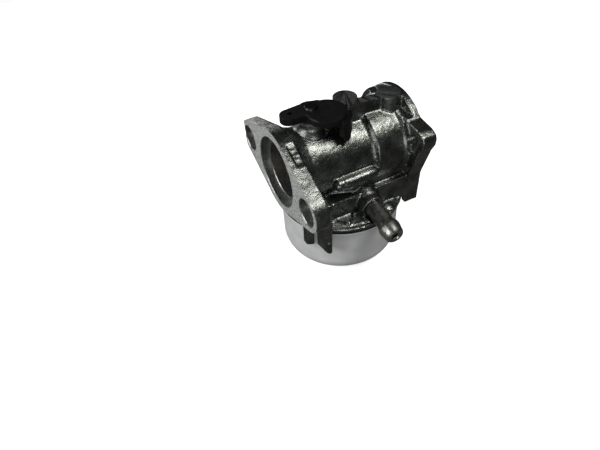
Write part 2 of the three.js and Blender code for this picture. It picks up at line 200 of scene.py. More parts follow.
def lathe(profile, segments=64, axis="z"):
    """A profile of (radius, height) points, turned. It runs from axis to axis, or is a closed loop off the axis."""
    angles = [2 * math.pi * i / segments for i in range(segments)]
    points, rings = [], []
    for r, h in profile:
        if r < 1e-6:
            rings.append([len(points)] * segments)
            points.append(oriented(axis, 0, 0, h))
        else:
            rings.append(list(range(len(points), len(points) + segments)))
            points += [oriented(axis, r * math.cos(a), r * math.sin(a), h) for a in angles]
    pairs = list(zip(rings, rings[1:]))
    if profile[0][0] > 1e-6:
        pairs.append((rings[-1], rings[0]))
    faces = []
    for one, two in pairs:
        for i in range(segments):
            j = (i + 1) % segments
            corners = dict.fromkeys((one[i], one[j], two[j], two[i]))
            if len(corners) > 2:
                faces.append(tuple(corners))
    return points, faces


def rod(r, low, high, segments=48, axis="z"):
    return lathe([(0, low), (r, low), (r, high), (0, high)], segments, axis)


def ball(cx, cy, cz, r, segments=32):
    profile = [(0, -r)] + [(x, z) for x, z in arc(0, 0, r, -80, 80, 12)] + [(0, r)]
    return moved(lathe(profile, segments), cx, cy, cz)


# ---- objects --------------------------------------------------------------------------------------
def as_object(name, *shells):
    """One mesh object, in millimetres, of closed shells that may overlap."""
    mesh = bpy.data.meshes.new(name)
    build = bmesh.new()
    for points, faces in shells:
        made = [build.verts.new(p) for p in points]
        for face in faces:
            build.faces.new([made[i] for i in face])
    bmesh.ops.recalc_face_normals(build, faces=build.faces)
    build.to_mesh(mesh)
    build.free()
    made = bpy.data.objects.new(name, mesh)
    bpy.context.scene.collection.objects.link(made)
    return made


def bake_modifiers(obj):
    bpy.context.view_layer.update()
    result = bpy.data.meshes.new_from_object(obj.evaluated_get(bpy.context.evaluated_depsgraph_get()))
    old = obj.data
    obj.modifiers.clear()
    obj.data = result
    bpy.data.meshes.remove(old)
    return obj


def combine(obj, other, operation):
    """Joins two closed objects, or cuts one by the other."""
    step = obj.modifiers.new("combine", "BOOLEAN")
    step.operation = operation
    step.solver = "MANIFOLD"
    step.object = other
    bake_modifiers(obj)
    bpy.data.objects.remove(other)
    return obj


def union(name, *shells):
    whole = as_object(name, shells[0])
    for shell in shells[1:]:
        combine(whole, as_object("part", shell), "UNION")
    return whole


def cut(obj, *shells, slot=None):
    """Cuts shells out of a closed object; the new faces take the object's material slot, if one is given."""
    tool = union("tool", *shells)
    if slot is not None:
        for material in obj.data.materials:
            tool.data.materials.append(material)
        for face in tool.data.polygons:
            face.material_index = slot
    return combine(obj, tool, "DIFFERENCE")


def keep_largest_island(obj):
    """Deletes the specks that a cut can leave loose beside the main skin."""
    build = bmesh.new()
    build.from_mesh(obj.data)
    unseen = set(build.verts)
    islands = []
    while unseen:
        island, frontier = set(), [unseen.pop()]
        while frontier:
            vert = frontier.pop()
            island.add(vert)
            for edge in vert.link_edges:
                other = edge.other_vert(vert)
                if other in unseen:
                    unseen.remove(other)
                    frontier.append(other)
        islands.append(island)
    islands.sort(key=len)
    for island in islands[:-1]:
        bmesh.ops.delete(build, geom=list(island), context="VERTS")
    build.to_mesh(obj.data)
    build.free()


def blend_into_one(obj, voxel, smoothing, wobble=0.0):
    """Joins overlapping shells into one skin and softens it, as a mould does."""
    remesh = obj.modifiers.new("remesh", "REMESH")
    remesh.mode = "VOXEL"
    remesh.voxel_size = voxel
    smooth = obj.modifiers.new("smooth", "SMOOTH")
    smooth.factor = 0.5
    smooth.iterations = smoothing
    if wobble:
        clouds = bpy.data.textures.new("clouds", "CLOUDS")
        clouds.noise_scale = 1.6
        clouds.noise_depth = 2
        displace = obj.modifiers.new("wobble", "DISPLACE")
        displace.texture = clouds
        displace.texture_coords = "LOCAL"
        displace.strength = wobble
        displace.mid_level = 0.5
    return bake_modifiers(obj)


def bevelled(obj, width, segments=3, angle=35):
    step = obj.modifiers.new("bevel", "BEVEL")
    step.width = width
    step.segments = segments
    step.limit_method = "ANGLE"
    step.angle_limit = math.radians(angle)
    return bake_modifiers(obj)


def finish_piece(obj, body, node, slot, *materials, sharp=38):
    """Moves a piece into the frame and makes it stand for its CAD node."""
    obj.data.transform(TO_FRAME)
    obj.data.shade_smooth()
    obj.data.set_sharp_from_angle(angle=math.radians(sharp))
    if materials:
        obj.data.materials.clear()
        for material in materials:
            obj.data.materials.append(material)
    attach(obj, body)
    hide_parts(node)
    return obj


# ---- materials ------------------------------------------------------------------------------------
class Finish:
    """A node-based material drawn in object space, with its coordinates in millimetres."""

    def __init__(self, name, metallic):
        self.material = bpy.data.materials.new(name)
        self.material.use_nodes = True
        self.tree = self.material.node_tree
        self.shader = self.tree.nodes["Principled BSDF"]
        self.shader.inputs["Metallic"].default_value = metallic
        place = self.add("ShaderNodeTexCoord")
        self.mm = self.add("ShaderNodeVectorMath")
        self.mm.operation = "SCALE"
        self.mm.inputs["Scale"].default_value = 1 / MM
        self.link(place.outputs["Object"], self.mm.inputs[0])
        self.bump = None

    def add(self, kind):
        return self.tree.nodes.new(kind)

    def link(self, source, target):
        self.tree.links.new(source, target)

    def coordinates(self, stretch):
        if stretch is None:
            return self.mm.outputs[0]
        scaled = self.add("ShaderNodeVectorMath")
        scaled.operation = "MULTIPLY"
        scaled.inputs[1].default_value = stretch
        self.link(self.mm.outputs[0], scaled.inputs[0])
        return scaled.outputs[0]

    def noise(self, size, detail=3.0, stretch=None, distortion=0.0):
        """Noise whose features are about size mm across; stretch multiplies the coordinates."""
        node = self.add("ShaderNodeTexNoise")
        node.inputs["Scale"].default_value = 1 / size
        node.inputs["Detail"].default_value = detail
        node.inputs["Distortion"].default_value = distortion
        self.link(self.coordinates(stretch), node.inputs["Vector"])
        return node.outputs["Fac"]

    def cells(self, size):
        node = self.add("ShaderNodeTexVoronoi")
        node.inputs["Scale"].default_value = 1 / size
        self.link(self.mm.outputs[0], node.inputs["Vector"])
        return node.outputs["Distance"]

    def ramp(self, source, low, high, start=0.35, stop=0.65):
        node = self.add("ShaderNodeMapRange")
        node.inputs["From Min"].default_value = start
        node.inputs["From Max"].default_value = stop
        node.inputs["To Min"].default_value = low
        node.inputs["To Max"].default_value = high
        self.link(source, node.inputs["Value"])
        return node.outputs["Result"]

    def mix(self, factor, first, second):
        node = self.add("ShaderNodeMix")
        node.data_type = "RGBA"
        self.link(factor, node.inputs["Factor"])
        for value, socket in ((first, node.inputs["A"]), (second, node.inputs["B"])):
            if isinstance(value, tuple):
                socket.default_value = (*value, 1)
            else:
                self.link(value, socket)
        return node.outputs["Result"]

    def colour(self, dark, light, source, start=0.35, stop=0.65):
        mixed = self.mix(self.ramp(source, 0, 1, start, stop), dark, light)
        self.link(mixed, self.shader.inputs["Base Color"])
        return mixed

    def roughness(self, low, high, source):
        self.link(self.ramp(source, low, high), self.shader.inputs["Roughness"])

    def relief(self, source, depth):
        """Bump of that depth in mm, on top of what is there."""
        node = self.add("ShaderNodeBump")
        node.inputs["Distance"].default_value = depth * MM
        self.link(source, node.inputs["Height"])
        if self.bump:
            self.link(self.bump, node.inputs["Normal"])
        self.bump = node.outputs["Normal"]
        self.link(self.bump, self.shader.inputs["Normal"])

    def turning_marks(self, axis, pitch, depth):
        """Fine rings round an axis, as a lathe tool leaves."""
        stretch = {"x": (1, 0.02, 0.02), "y": (0.02, 1, 0.02), "z": (0.02, 0.02, 1)}[axis]
        marks = self.noise(pitch, detail=2, stretch=stretch)
        self.relief(marks, depth)
        return marks


def cast_metal():
    made = Finish("cast_metal", 1.0)
    blotch = made.noise(5.0, detail=4)
    base = made.colour((0.105, 0.112, 0.104), (0.235, 0.245, 0.226), blotch)
    # Convex edges, found by pointiness, are mixed to a light grey: partly real rubbed edges, partly a painted highlight
    # along the edges.
    edge = made.add("ShaderNodeNewGeometry")
    worn_and_highlit_edge = made.ramp(edge.outputs["Pointiness"], 0, 1, 0.53, 0.58)
    shown = made.mix(worn_and_highlit_edge, base, (0.66, 0.67, 0.63))
    made.link(shown, made.shader.inputs["Base Color"])
    grain = made.noise(0.42, detail=4)
    made.roughness(0.23, 0.37, grain)
    made.relief(made.noise(1.1, detail=3), 0.03)
    made.relief(grain, 0.055)
    made.relief(made.cells(0.3), 0.035)
    return made.material


def machined_metal():
    made = Finish("machined_metal", 0.5)
    made.colour((0.34, 0.36, 0.345), (0.78, 0.80, 0.77), made.noise(0.8, detail=8), 0.38, 0.62)
    fine = made.noise(0.35, detail=4)
    made.roughness(0.34, 0.50, fine)
    made.relief(made.noise(0.25, stretch=(1, 1, 0.1)), 0.02)
    made.relief(fine, 0.02)
    return made.material


# Hole and bore walls: a bored finish whose darker colour, below that of the machined faces, is also painted shade
# inside the holes.
def bore_metal_painted_shade():
    made = Finish("bore_metal_painted_shade", 0.9)
    made.colour((0.15, 0.155, 0.15), (0.30, 0.31, 0.29), made.noise(0.9, detail=6))
    made.roughness(0.28, 0.42, made.noise(0.3, detail=4))
    made.relief(made.noise(0.3, detail=3), 0.02)
    return made.material


def zinc_plated_bowl():
    made = Finish("zinc_plated_bowl", 0.35)
    made.colour((0.80, 0.82, 0.81), (0.92, 0.93, 0.92), made.noise(6.0, detail=5))
    drawn = made.noise(0.8, detail=4, stretch=(1, 1, 0.06))
    made.roughness(0.34, 0.46, drawn)
    made.relief(drawn, 0.012)
    made.relief(made.noise(0.3, detail=3), 0.01)
    return made.material


def turned_metal(name, dark, light, axis, rough=(0.28, 0.42), depth=0.02):
    made = Finish(name, 1.0)
    made.colour(dark, light, made.noise(1.5, detail=4))
    marks = made.turning_marks(axis, 0.12, depth)
    made.roughness(*rough, marks)
    made.relief(made.noise(0.3, detail=3), 0.008)
    return made.material


def moulded_black(name, tone=0.004, rough=(0.36, 0.50), grain=0.25, depth=0.012):
    made = Finish(name, 0.0)
    made.shader.inputs["Specular IOR Level"].default_value = 0.14
    made.colour((tone,) * 3, (tone * 1.7,) * 3, made.noise(3.0, detail=3))
    texture = made.noise(grain, detail=3)
    made.roughness(*rough, texture)
    made.relief(texture, depth)
    return made.material


def pressed_fibre():
    made = Finish("pressed_fibre", 0.0)
    made.colour((0.20, 0.11, 0.07), (0.36, 0.22, 0.14), made.noise(0.5, detail=5, stretch=(1, 1, 4)))
    made.roughness(0.75, 0.95, made.noise(0.2))
    made.relief(made.noise(0.2, detail=4), 0.03)
    return made.material


# ---- casting --------------------------------------------------------------------------------------
def flange_shells():
    inner = ENGINE_X[1]
    outer = ENGINE_X[0] - ALLOWANCE
    shells = []
    for side, r in ((-1, EAR_R), (1, EAR_R)):
        outline = clipped(wrapped(DISC_R, side * BOLT_Y, side * BOLT_Z, r), FAR_EAR_Y)
        shells.append(moved(prism(outline, outer, inner, "x"), 0, 0, BORE_Z))
    return shells


def rim_point(along, out):
    """A point of the engine flange's rim, in Y and Z: along the straight side to the near ear, and out from it."""
    start = Vector((-7.5, 15.9))
    run = Vector((-0.905, -0.425))
    return tuple(start + run * along + Vector((run.y, -run.x)) * out)


def engine_flange():
    flange = union("engine_flange", *flange_shells())
    pocket = [rim_point(-1.5, 0.1), rim_point(0.4, -0.5), rim_point(7.5, -0.5), rim_point(11, 0.3), rim_point(11, 3),
              rim_point(-2, 3)]
    cut(flange, moved(prism(pocket, -26.6, ENGINE_X[1] + 3, "x"), 0, 0, BORE_Z))
    return flange


def air_flange():
    """A thin round rim on the outside, and behind it the thick part, whose near lug has a flat top."""
    outer = AIR_X[1] + ALLOWANCE
    rim_x = AIR_X[1] - 2.7
    near_lug = [
        (-8, 14.8), (-22.2, 13.1, 0.8), (-24.6, 12, 1.5), (-25.5, 10, 1.5), (-25.2, 7.2, 2), (-23.4, 3.9, 2),
        (-22.8, 1.8, 3), (-21.2, -3.2, 4), (-19.4, -9), (-8, -12),
    ]
    leg = [(-21.4, 2), (-19.3, -8), (-18.9, -24.5), (-16, -24.5), (-16, -20.2), (-12, -18), (-10, 0)]
    foot = [(-12, -12), (-12, -19.4), (12, -19.4), (12, -12)]
    plates = union(
        "air_flange",
        prism(arc(0, 0, AIR_DISC_R, 0, 360, 96)[:-1], AIR_X[0], outer, "x"),
        prism(wrapped(AIR_DISC_R, -STUD_Y, -STUD_Z, AIR_EAR_R), AIR_X[0], outer, "x"),
        prism(rounded(leg, 0.6), AIR_X[0], outer, "x"),
        prism(foot, AIR_X[0], outer, "x"),
    )
    cut(plates, box((AIR_X[0] - 1, rim_x), (-30, 30), (14.7, 30)))
    combine(plates, as_object("lug", prism(rounded(near_lug, 0), AIR_X[0], outer, "x")), "UNION")
    pocket = rounded([(-9.6, 13.4), (-21, 12), (-22.3, 9), (-20.6, 3.4), (-15.6, -1), (-15.6, 5)], 0.8)
    cut(plates, prism(pocket, AIR_X[0] - 1, AIR_X[0] + 1.3, "x"))
    plates.data.transform(Matrix.Translation((0, 0, BORE_Z)))
    return plates


def barrel_shells():
    profile = [
        (0, ENGINE_X[1] - 1),
        (DISC_R - 0.6, ENGINE_X[1] - 1),
        (BARREL_R + 0.8, ENGINE_X[1] + 2),
        (BARREL_R, ENGINE_X[1] + 4.5),
        (BARREL_R, SHOULDER_X - 2),
        (BARREL_R + 0.6, SHOULDER_X - 0.8),
        (HORN_BARREL_R, SHOULDER_X),
        (HORN_BARREL_R, AIR_X[0] - 1.6),
        (HORN_BARREL_R + 0.7, AIR_X[0] - 0.9),
        (HORN_BARREL_R + 0.7, AIR_X[0] + 1),
        (0, AIR_X[0] + 1),
    ]
    return [moved(lathe(profile, 96, "x"), 0, 0, BORE_Z)]


def block_shells():
    shoulder_y = WALL_Y - 2.6
    bottom = [(BLOCK_X[0], -WALL_Y), (BLOCK_X[1], -WALL_Y), (BLOCK_X[1], WALL_Y), (BLOCK_X[0], WALL_Y)]
    gusset = [(-13.6, -17.5), (-8.8, -23.4), (-3.8, -17.5)]
    fillet = [(-3.6, -19.5), (-1.0, -20.5), (-0.8, -26.4), (-2.6, -24.5)]
    return [
        prism(rounded(bottom, 1.2), COVER_Z[0] + 0.5, BLOCK_TOP_Z),
        tapered([(-shoulder_y, 11), (shoulder_y, 11), (shoulder_y - 4, 13), (-shoulder_y + 4, 13)], -14, -3,
                [(-shoulder_y, 11), (shoulder_y, 11), (shoulder_y, 14.6), (-shoulder_y, 14.6)], "x"),
        prism([(-shoulder_y, 11), (shoulder_y, 11), (shoulder_y, 14.6), (shoulder_y - 2, 16.4), (-shoulder_y + 2, 16.4),
               (-shoulder_y, 14.6)], -3.2, BLOCK_X[1], "x"),
        rod(COVER_R, COVER_Z[0], COVER_Z[1], 128),
        lathe([(0, 1), (COVER_R - 1.6, 1), (COVER_R - 2.2, COVER_Z[1] + 0.45), (0, COVER_Z[1] + 0.45)], 128),
        prism(gusset, COVER_Z[0] + 0.2, COVER_Z[1] + 1.6),
        prism(fillet, COVER_Z[0] + 0.2, COVER_Z[1] + 1.2),
        moved(lathe([(0, 0), (1.7, 0), (1.7, 0.9), (1.0, 1.1), (0, 1.1)], 32), 11, -21.3, COVER_Z[1] - 0.2),
    ]


def engine_leg_shells():
    foot = [
        (-24.6, -12), (-24.3, -15), (-22.9, -15.9), (-21, -16.4), (-20.4, -17.6), (-19.6, -23.6),
        (-18.5, -24.8), (-17.2, -24.2), (-17.6, -20.5), (-21.2, -16), (-23.6, -12),
    ]
    return [
        prism(rounded(foot, 0.5, steps=3), -8, BORE_Z - 8),
        box((-24.6, -17.4), (-24, -10), (8, BORE_Z - 4)),
    ]


def top_pad_shells():
    low = BORE_Z + 8
    (ax, ay), (bx, by) = PADS
    bar = [(ax - 3, -4.2), (bx, -4.8), (bx, 0.6), (15, -1.3), (8, -0.3), (ax, ay + 1)]
    top = PAD_TOP_Z + ALLOWANCE
    wide = [(PAD_R + 0.5, low), (PAD_R, PAD_TOP_Z - 2)]
    post = [(0, low), *wide, (PAD_R, top), (0, top)]
    return [prism(bar, low, top)] + [moved(lathe(post, 56), x, y, 0) for x, y in PADS]


def inlet_matrix():
    tilt = Matrix.Rotation(math.radians(90 + INLET_TILT), 4, "X")
    yaw = Matrix.Rotation(math.radians(-INLET_YAW), 4, "Z")
    return Matrix.Translation(INLET) @ yaw @ tilt


def boss_shells():
    root = BORE_Z + 8
    flare = [(0, root), (BOSS_R + 3, root), (BOSS_R + 1.4, BORE_Z + 14.6), (BOSS_R, BORE_Z + 17)]
    throttle = lathe(flare + [(BOSS_R, BOSS_TOP_Z + ALLOWANCE), (0, BOSS_TOP_Z + ALLOWANCE)], 64)
    inlet = lathe([(0, -9), (6.4, -9), (5.4, -4.2), (4.9, -2.5), (4.9, 0.3), (0, 0.3)], 56)
    rib = lathe([(0, -11.2), (1.9, -11.2), (2.5, -10.4), (2.5, -9.2), (2.2, -8.6), (2.6, -7.6), (2.75, 4.5),
                 (2.4, 6.6), (1.2, 7.9), (0, 8.1)], 40, "x")
    idle = lathe([(0, -17.8), (5.4, -17.8), (5.6, -10), (0, -10)], 48, "-y")
    return [
        moved(throttle, SHAFT_X, 0, 0),
        moved(rod(BOSS_R - 0.6, BLOCK_TOP_Z - 6, BLOCK_TOP_Z), SHAFT_X, 0, 0),
        transformed(inlet, inlet_matrix()),
        moved(rib, 0, RIB_Y, RIB_Z),
        moved(idle, SHAFT_X, 0, BORE_Z),
    ]


def underside_shells():
    lugs = [
        box((HINGE_X + side * 7 - 1, HINGE_X + side * 7 + 1), (HINGE_Y - 2.1, HINGE_Y + 2.1),
            (HINGE_Z - 2.1, HINGE_Z + 6.4))
        for side in (-1, 1)
    ]
    return [
        rod(5.8, RECESS_CEILING_Z + BOWL_WALL + GAP, COVER_Z[0] + 1),
        moved(rod(4.1, -1.4, COVER_Z[0] + 1), HINGE_X, -15, 0),
        moved(rod(3.2, -4, COVER_Z[0] + 1), -9.5, 5, 0),
        *lugs,
    ]


def chamfered_hole(r, low, high, mouth, axis="x", segments=56, chamfer=0.35):
    """A hole cutter from low to high whose mouth, at the given end, opens by a small chamfer."""
    outward = 1 if mouth == high else -1
    other = low if mouth == high else high
    end = mouth + outward * 3
    profile = [(0, other), (r, other), (r, mouth - outward * chamfer), (r + chamfer, mouth), (r + chamfer, end), (0, end)]
    return lathe(profile, segments, axis)


def threaded_hole(r, low, high, axis="x", pitch=0.8, depth=0.22):
    profile = [(0, low)]
    turns = int((high - low) / pitch)
    for i in range(turns):
        profile += [(r - depth / 2, low + i * pitch), (r + depth / 2, low + (i + 0.5) * pitch)]
    return lathe(profile + [(r, high), (0, high)], 40, axis)


def machining_shells():
    far = 60
    bore = [
        (0, ENGINE_X[0] - 3), (RECESS_R + 0.3, ENGINE_X[0] - 3), (RECESS_R + 0.3, ENGINE_X[0]),
        (RECESS_R, ENGINE_X[0] + 0.3), (RECESS_R, RECESS_FLOOR_X), (BORE_R + 0.3, RECESS_FLOOR_X),
        (BORE_R, RECESS_FLOOR_X + 0.3), (BORE_R, -6), (THROAT_R, 0), (THROAT_R, 3.5), (HORN_R - 1.2, 9.5),
        (HORN_R, 14), (HORN_R, AIR_X[1] - 0.8), (HORN_R + 0.8, AIR_X[1]), (HORN_R + 0.8, AIR_X[1] + 3),
        (0, AIR_X[1] + 3),
    ]
    faces = [
        box((-far, ENGINE_X[0]), (-far, far), (-far, far)),
        box((AIR_X[1], far), (-far, far), (-far, far)),
        moved(rod(BOSS_R + 4, BOSS_TOP_Z, far), SHAFT_X, 0, 0),
    ]
    holes = [moved(lathe(bore, 112, "x"), 0, 0, BORE_Z)]
    for side in (-1, 1):
        through = chamfered_hole(BOLT_R, ENGINE_X[0] + 2, ENGINE_X[1] + 0.1, ENGINE_X[1])
        counter = chamfered_hole(COUNTERBORE_R, ENGINE_X[0], ENGINE_X[0] + 2.6, ENGINE_X[0])
        stud = threaded_hole(STUD_R, AIR_X[0] - 0.5, AIR_X[1] + 1)
        holes += [moved(shape, 0, side * BOLT_Y, BORE_Z + side * BOLT_Z) for shape in (through, counter)]
        holes.append(moved(stud, 0, -side * STUD_Y, BORE_Z - side * STUD_Z))
    holes += [
        moved(rod(1.1, AIR_X[0] + 1, AIR_X[1] + 1, 24, "x"), 0, -17, BORE_Z - 4),
        moved(rod(1.9, AIR_X[1] - 3, AIR_X[1] + 1, 32, "x"), 0, -17, BORE_Z - 4),
        moved(rod(SHAFT_R + GAP, 8, BOSS_TOP_Z + 1), SHAFT_X, 0, 0),
        rod(3.3, -20, -8),
        rod(3.0, -8.1, 9),
        rod(1.9, 8.9, BORE_Z),
        moved(rod(1.2, -8, 8, 24, "x"), 0, 0, -9.8),
        moved(rod(2.6, -4, 6.3), HINGE_X, -15, 0),
        moved(rod(1.0, 6.2, 8.2), HINGE_X, -15, 0),
        transformed(rod(3.3, -5, 1), inlet_matrix()),
        transformed(rod(1.1, -8, -4.9, 24), inlet_matrix()),
        moved(rod(2.1, -5, 2.2), -9.5, 5, 0),
        moved(rod(1.1, HINGE_X - 12, HINGE_X + 12, 24, "x"), 0, HINGE_Y, HINGE_Z),
        moved(rod(2.0, -11.6, -9.0, 32, "x"), 0, RIB_Y, RIB_Z),
        moved(rod(4.1, -18.5, -15.8, 48, "-y"), SHAFT_X, 0, BORE_Z),
        moved(rod(2.0, -WALL_Y - 1, -WALL_Y + 2, 32, "-y"), -6, 0, 7.5),
    ]
    return faces, holes


def flange_nubs():
    """Small plain raised dots in the pocket on the rim of the engine flange."""
    nubs = []
    for x, along in ((-25.2, 2.0), (-24.0, 4.0), (-25.0, 5.8)):
        y, z = rim_point(along, -0.95)
        nubs.append(ball(x, y, BORE_Z + z, 0.75, 20))
    return nubs


def casting(cast, machined, bore_shaded):
    shells = (barrel_shells() + block_shells() + engine_leg_shells() + top_pad_shells() + boss_shells()
              + underside_shells() + flange_nubs())
    whole = as_object("casting", *shells)
    bpy.context.view_layer.update()
    build = bmesh.new()
    build.from_mesh(whole.data)
    for part in (engine_flange(), air_flange()):
        build.from_mesh(part.data)
        bpy.data.objects.remove(part)
    build.to_mesh(whole.data)
    build.free()
    blend_into_one(whole, 0.38, 7, wobble=0.16)
    whole.data.materials.clear()
    for material in (cast, machined, bore_shaded):
        whole.data.materials.append(material)
    cut(whole, box((PADS[0][0] - 12, PADS[1][0] + 8), (-9, 12), (PAD_TOP_Z, 60)), slot=0)
    # Machined faces take slot 1; holes and bores take slot 2, the darker finish that carries painted shade inside the
    # holes.
    for slot, cutters in enumerate(machining_shells(), start=1):
        for shell in cutters:
            cut(whole, shell, slot=slot)
    keep_largest_island(whole)
    return finish_piece(whole, "housing", "carburetor_body", "cast_aluminium")


# ---- bowl and fixings -----------------------------------------------------------------------------
def bowl(material):
    corner_r, corner_z, fillet = BOWL_R - 8, -BOWL_DEPTH + 8, 8
    rim = BOWL_RIM_Z
    outside = [
        (BOWL_R + 0.1, rim), (BOWL_R + 0.42, rim - 0.15), (BOWL_R + 0.5, rim - 0.6), (BOWL_R + 0.42, rim - 1.2),
        (BOWL_R + 0.15, rim - 1.7), (BOWL_R, rim - 2.3), (BOWL_R, corner_z),
        *arc(corner_r, corner_z, fillet, -6, -84, 18), (14.6, -BOWL_DEPTH),
        *rounded([(14.6, -BOWL_DEPTH), (12.7, -BOWL_DEPTH, 0.9), (11.5, RECESS_CEILING_Z, 0.9),
                  (8, RECESS_CEILING_Z)], 0, closed=False)[1:-1],
        (3.4, RECESS_CEILING_Z),
    ]
    inner = fillet - BOWL_WALL
    inside = [
        (3.4, RECESS_CEILING_Z + BOWL_WALL), (12.0, RECESS_CEILING_Z + BOWL_WALL),
        (13.7, -BOWL_DEPTH + BOWL_WALL), *arc(corner_r, corner_z, inner, -84, -6, 12),
        (BOWL_R - BOWL_WALL, corner_z), (BOWL_R - BOWL_WALL, rim - 0.4), (BOWL_R - BOWL_WALL + 0.4, rim),
    ]
    return finish_piece(as_object("bowl_cup", lathe(outside + inside, 144)), "housing", "float_bowl",
                        "stamped_steel", material)


def simple_ring(name, node, slot, material, inner, outer, low, high, soft, segments=96):
    loop = rounded([(inner, low), (outer, low), (outer, high), (inner, high)], soft)
    return finish_piece(as_object(name, lathe(loop, segments)), "housing", node, slot, material, sharp=50)


def bowl_bolt(material):
    head_r = 12.7 / math.sqrt(3)
    high = RECESS_CEILING_Z - 1.6
    low = high - 4.0
    hexagon = [(head_r * math.cos(math.radians(60 * i)), head_r * math.sin(math.radians(60 * i))) for i in range(6)]
    head = as_object("bowl_bolt_head", prism(hexagon, low, high))
    crown = lathe([(0, low - 1), (5.9, low - 1), (5.9, low), (head_r + 0.4, low + 0.9), (head_r + 0.4, high + 1),
                   (0, high + 1)], 96)
    combine(head, as_object("crown", crown), "INTERSECT")
    thread = [(3.0 if i % 2 else 2.75, high + 1.5 + i * 0.4) for i in range(16)]
    shank = lathe([(0, high - 0.5), (3.0, high - 0.5), (3.0, high + 1.2)] + thread + [(2.6, -11.4), (0, -11.4)], 56)
    combine(head, as_object("shank", shank), "UNION")
    bevelled(head, 0.12, 2, 40)
    return finish_piece(head, "housing", "bowl_bolt", "plated_steel", material)


# ---- throttle -------------------------------------------------------------------------------------
def throttle_lever(material):
    arm = [
        (TIP_X, TIP_Y - TIP_R), (SHAFT_X, -3.6), (LOBE_X - 1, LOBE_Y - LOBE_R), (LOBE_X + 1, LOBE_Y + LOBE_R),
        (SHAFT_X, 4.7), (TIP_X, TIP_Y + TIP_R),
    ]
    low, high = LEVER_Z
    skirt = arc(LOBE_X, LOBE_Y, SKIRT_R, -76, -12, 24) + arc(LOBE_X, LOBE_Y, 6.8, -12, -76, 24)
    finger = arc(LOBE_X, LOBE_Y, SKIRT_R, -66, -47, 12) + arc(LOBE_X, LOBE_Y, 8.0, -47, -66, 12)
    cap = [(0, low), (LOBE_R, low), (LOBE_R, high - 0.7), (LOBE_R - 0.5, high - 0.1), (LOBE_R - 1.3, high), (0, high)]
    whole = as_object(
        "lever_moulding",
        prism(rounded(arm, 0.8), low, high),
        moved(rod(TIP_R, low, high), TIP_X, TIP_Y, 0),
        moved(lathe(cap, 72), LOBE_X, LOBE_Y, 0),
        moved(rod(5.0, low, high), SHAFT_X, 0, 0),
        prism(skirt, 37.2, low + 1),
        prism(finger, 35.1, 38.2),
    )
    blend_into_one(whole, 0.16, 7)
    slope = Matrix.Translation((LOBE_X, LOBE_Y - 4.6, high - 0.05)) @ Matrix.Rotation(math.radians(-14), 4, "Z")
    slope = slope @ Matrix.Rotation(math.radians(14), 4, "X")
    cut(whole, transformed(box((-12, 16), (-12, 0), (0, 4)), slope))
    cut(whole, moved(rod(0.95, 30, 50, 32), TIP_X + 0.5, TIP_Y + 0.3, 0),
        moved(rod(SHAFT_R + 0.12, 30, 50), SHAFT_X, 0, 0))
    return finish_piece(whole, "throttle", "throttle_lever", "black_nylon", material)


def throttle_shaft(material):
    top = LEVER_Z[1] + 0.7
    bar = as_object("shaft_bar", lathe([(0, 8.3), (2.2, 8.3), (2.5, 8.6), (2.5, top - 0.4), (2.2, top), (0, top)], 64))
    half = 0.4 + GAP
    cut(bar, box((-4, 4), (-half, half), (BORE_Z - 11.6, BORE_Z + 11.6)))
    cut(bar, moved(rod(1.3, -4, 4, 24, "-y"), 0, 0, BORE_Z))
    bar.data.transform(Matrix.Translation((SHAFT_X, 0, 0)))
    return finish_piece(bar, "throttle", "throttle_shaft", "turned_steel", material)


def throttle_plate(material):
    outline = [(11.85 * math.cos(a), 11.3 * math.sin(a)) for a in [2 * math.pi * i / 96 for i in range(96)]]
    plate = as_object("butterfly", prism(outline, -0.4, 0.4, "-y"))
    cut(plate, rod(1.3, -2, 2, 24, "-y"))
    bevelled(plate, 0.12, 2)
    plate.data.transform(Matrix.Translation((SHAFT_X, 0, BORE_Z)))
    return finish_piece(plate, "throttle", "throttle_plate", "brass", material)


def plate_screw(material):
    profile = [(0, -2.4), (0.8, -2.4), (0.95, -2.2), (0.95, 2.8), (1.9, 2.8), (1.85, 3.3), (1.5, 3.7), (0.8, 3.87), (0, 3.9)]
    screw = as_object("butterfly_screw", lathe(profile, 40, "-y"))
    cut(screw, box((-3, 3), (-4.5, -3.3), (-0.25, 0.25)))
    screw.data.transform(Matrix.Translation((SHAFT_X, 0, BORE_Z)))
    return finish_piece(screw, "throttle", "throttle_plate_screw", "plated_steel", material)


# ---- small fixed pieces ---------------------------------------------------------------------------
def inlet_tube(material):
    loop = rounded(
        [(1.5, -4.4, 0), (3, -4.4, 0), (3, 0.3, 0), (3.5, 0.5), (3.6, 0.9), (3.55, 9.6), (3.7, 10.2), (4.3, 11.8),
         (4.35, 12.6), (4.25, 13.6), (3.7, 16.4), (3.3, 17.0), (2.7, 17.2), (2.0, 17.1), (1.5, 16.5)], 0.3)
    tube = as_object("inlet_tube", transformed(lathe(loop, 72), inlet_matrix()))
    return finish_piece(tube, "housing", "fuel_inlet_nipple", "turned_steel", material, sharp=50)


def ball_plug(name, node, matrix, material):
    profile = [(0, -1.2), (1.7, -1.2), (1.7, 0.1), (1.55, 0.5), (1.2, 0.8), (0.6, 0.97), (0, 1)]
    plug = as_object(name, transformed(lathe(profile, 40), matrix))
    return finish_piece(plug, "housing", node, "stamped_steel", material)


def cup_plug(material):
    profile = [(0, -0.5), (3.6, -0.5), (3.8, -0.3), (3.8, 0.75), (3.65, 0.9), (3.1, 0.9), (2.9, 0.75), (2.4, 0.4), (0, 0.35)]
    place = Matrix.Translation((SHAFT_X, 16.6, BORE_Z)) @ Matrix.Rotation(math.radians(-90), 4, "X")
    plug = as_object("idle_cup_plug", transformed(lathe(profile, 56), place))
    return finish_piece(plug, "housing", "idle_port_plug", "stamped_steel", material)


